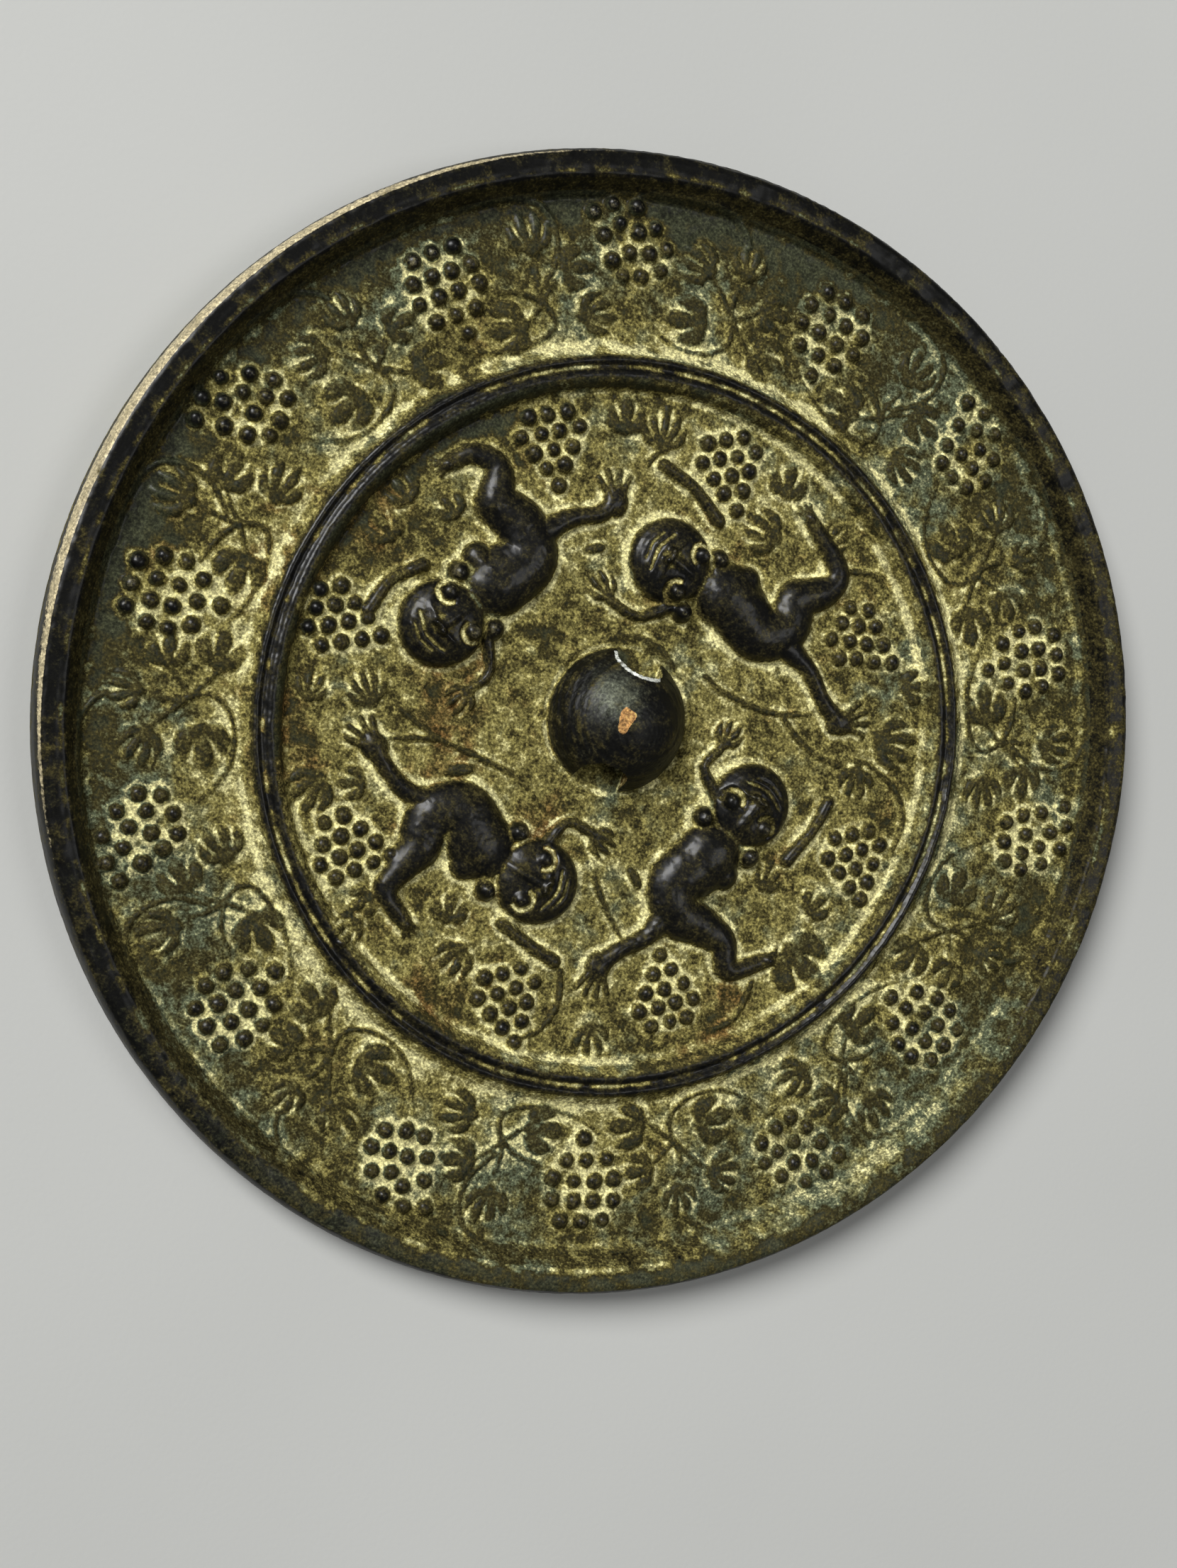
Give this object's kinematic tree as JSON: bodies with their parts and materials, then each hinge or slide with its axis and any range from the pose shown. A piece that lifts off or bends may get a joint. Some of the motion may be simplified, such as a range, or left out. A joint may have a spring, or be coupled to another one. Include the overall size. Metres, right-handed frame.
{
  "type": "ancient bronze mirror",
  "caption": "Round cast bronze mirror with a plain polished face and a carved back of beasts, vines and grape bunches about a pierced knob.",
  "frame": {"origin": "centre of the polished face, on the surface that the mirror lies on", "axes": "+Z out of the carved back, +Y along the cord hole through the knob"},
  "size_m": [0.14, 0.14, 0.01],
  "materials": {
    "bronze": "cast high-tin bronze, dark green-black on the worn heights, with pale ochre earth in the recesses and grey-green patina"
  },
  "bodies": {
    "root": {"mirror": "bronze"}
  },
  "joints": []
}
